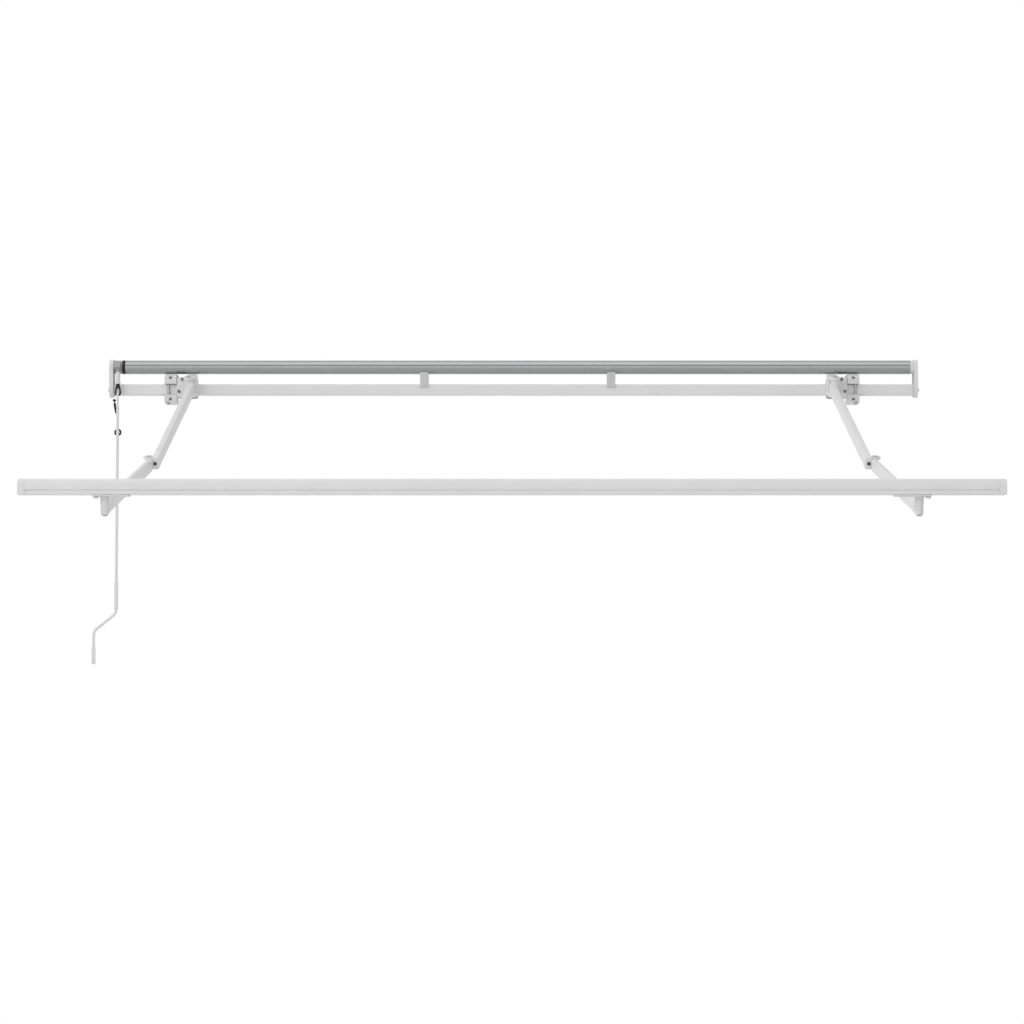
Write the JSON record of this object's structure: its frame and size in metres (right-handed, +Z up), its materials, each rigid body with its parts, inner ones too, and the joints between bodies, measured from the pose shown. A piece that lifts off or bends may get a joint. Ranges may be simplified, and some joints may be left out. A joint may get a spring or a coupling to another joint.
{
  "type": "retractable awning frame",
  "caption": "Folding-arm awning frame without cloth: square torsion bar, cord-grooved roller with winding gear and crank, sprung folding arms and a front bar.",
  "frame": {"origin": "in the wall plane, level with the middle of the torsion bar and midway between the arms", "axes": "+X to the right as seen from the front, +Y into the wall, +Z up; the awning stands out along -Y"},
  "size_m": [3.0416, 2.344, 1.1251],
  "materials": {
    "white_steel": "satin powder coat",
    "white_aluminium": "satin powder coat",
    "white_casting": "satin powder coat",
    "white_plastic": "satin",
    "galvanised": "galvanised",
    "zinc": "zinc plated",
    "grey_casting": "plain casting",
    "black_steel": "black oxide",
    "black_plastic": "satin"
  },
  "bodies": {
    "frame": {"torsion_bar": "white_steel", "left_end_plate": "white_casting", "right_end_plate": "white_casting", "left_end_screw": "black_steel", "right_end_screw": "black_steel", "gear_housing": "grey_casting", "left_roller_support": "white_casting", "right_roller_support": "white_casting", "left_wall_bracket": "white_casting", "right_wall_bracket": "white_casting", "left_clamp_bolt": "zinc", "right_clamp_bolt": "zinc", "left_shoulder": "white_casting", "right_shoulder": "white_casting", "left_shoulder_back_plate": "zinc", "right_shoulder_back_plate": "zinc", "left_upper_shoulder_screw": "black_steel", "right_upper_shoulder_screw": "black_steel", "left_lower_shoulder_screw": "black_steel", "right_lower_shoulder_screw": "black_steel", "left_shoulder_pin": "zinc", "right_shoulder_pin": "zinc"},
    "roller": {"roller_tube": "galvanised", "roller_drive_plug": "black_plastic", "roller_idle_plug": "white_casting"},
    "eye": {"gear_eye": "black_plastic"},
    "crank": {"crank_hook": "white_steel", "hook_latch": "black_plastic", "crank_rod": "white_steel", "rod_clip": "black_plastic"},
    "crank_upper_grip": {"upper_grip": "white_plastic"},
    "crank_lower_grip": {"lower_grip": "white_plastic"},
    "left_upper": {"left_arm_root": "white_casting", "left_upper_arm": "white_aluminium", "left_arm_spring": "zinc", "left_arm_cable": "black_plastic", "left_elbow_fork": "white_casting", "left_elbow_pin": "zinc"},
    "left_fore": {"left_elbow_tongue": "white_casting", "left_forearm": "white_aluminium", "left_tip_knuckle": "white_casting"},
    "front": {"front_bar": "white_aluminium", "left_front_cap": "white_plastic", "right_front_cap": "white_plastic", "left_front_foot": "white_casting", "right_front_foot": "white_casting", "left_tip_pin": "zinc", "right_tip_pin": "zinc", "left_foot_screw": "zinc", "right_foot_screw": "zinc"},
    "right_upper": {"right_arm_root": "white_casting", "right_upper_arm": "white_aluminium", "right_arm_spring": "zinc", "right_arm_cable": "black_plastic", "right_elbow_fork": "white_casting", "right_elbow_pin": "zinc"},
    "right_fore": {"right_elbow_tongue": "white_casting", "right_forearm": "white_aluminium", "right_tip_knuckle": "white_casting"}
  },
  "joints": [
    {"name": "left_shoulder_fold", "type": "hinge", "parent": "frame", "child": "left_upper", "pos_m": [-1.186, -0.13, 0.004], "axis": [0, -0.2588, 0.9659], "range_deg": [0, 86.5]},
    {"name": "left_elbow_fold", "type": "hinge", "parent": "left_upper", "child": "left_fore", "pos_m": [-1.196, -1.20234, -0.35994], "axis": [0, -0.2588, 0.9659], "range_deg": [-173, 0]},
    {"name": "left_tip_turn", "type": "hinge", "parent": "left_fore", "child": "front", "pos_m": [-1.186, -2.31299, -0.58093], "axis": [0, -0.2588, 0.9659], "range_deg": [0, 86.5]},
    {"name": "right_shoulder_fold", "type": "hinge", "parent": "frame", "child": "right_upper", "pos_m": [1.186, -0.13, 0.004], "axis": [0, -0.2588, 0.9659], "range_deg": [-86.5, 0]},
    {"name": "right_elbow_fold", "type": "hinge", "parent": "right_upper", "child": "right_fore", "pos_m": [1.196, -1.20234, -0.35994], "axis": [0, -0.2588, 0.9659], "range_deg": [0, 173]},
    {"name": "roller_turn", "type": "hinge", "parent": "frame", "child": "roller", "pos_m": [0, -0.055, 0.0845], "axis": [1, 0, 0], "continuous": true},
    {"name": "eye_turn", "type": "hinge", "parent": "frame", "child": "eye", "pos_m": [-1.4507, -0.092, 0], "axis": [0, 0, 1], "continuous": true},
    {"name": "crank_swing", "type": "hinge", "parent": "eye", "child": "crank", "pos_m": [-1.4507, -0.092, -0.0233], "axis": [-1, 0, 0], "range_deg": [-4, 50]},
    {"name": "upper_grip_turn", "type": "hinge", "parent": "crank", "child": "crank_upper_grip", "pos_m": [-1.4507, -0.092, -0.7], "axis": [0, 0, 1], "continuous": true},
    {"name": "lower_grip_turn", "type": "hinge", "parent": "crank", "child": "crank_lower_grip", "pos_m": [-1.5317, -0.092, -0.95], "axis": [0, 0, 1], "continuous": true}
  ],
  "couplings": [
    {"joint": "right_elbow_fold", "follows": "right_shoulder_fold", "ratio": -2},
    {"joint": "left_shoulder_fold", "follows": "right_shoulder_fold", "ratio": -1},
    {"joint": "left_elbow_fold", "follows": "right_shoulder_fold", "ratio": 2},
    {"joint": "left_tip_turn", "follows": "right_shoulder_fold", "ratio": -1},
    {"joint": "eye_turn", "follows": "roller_turn", "ratio": 7}
  ]
}
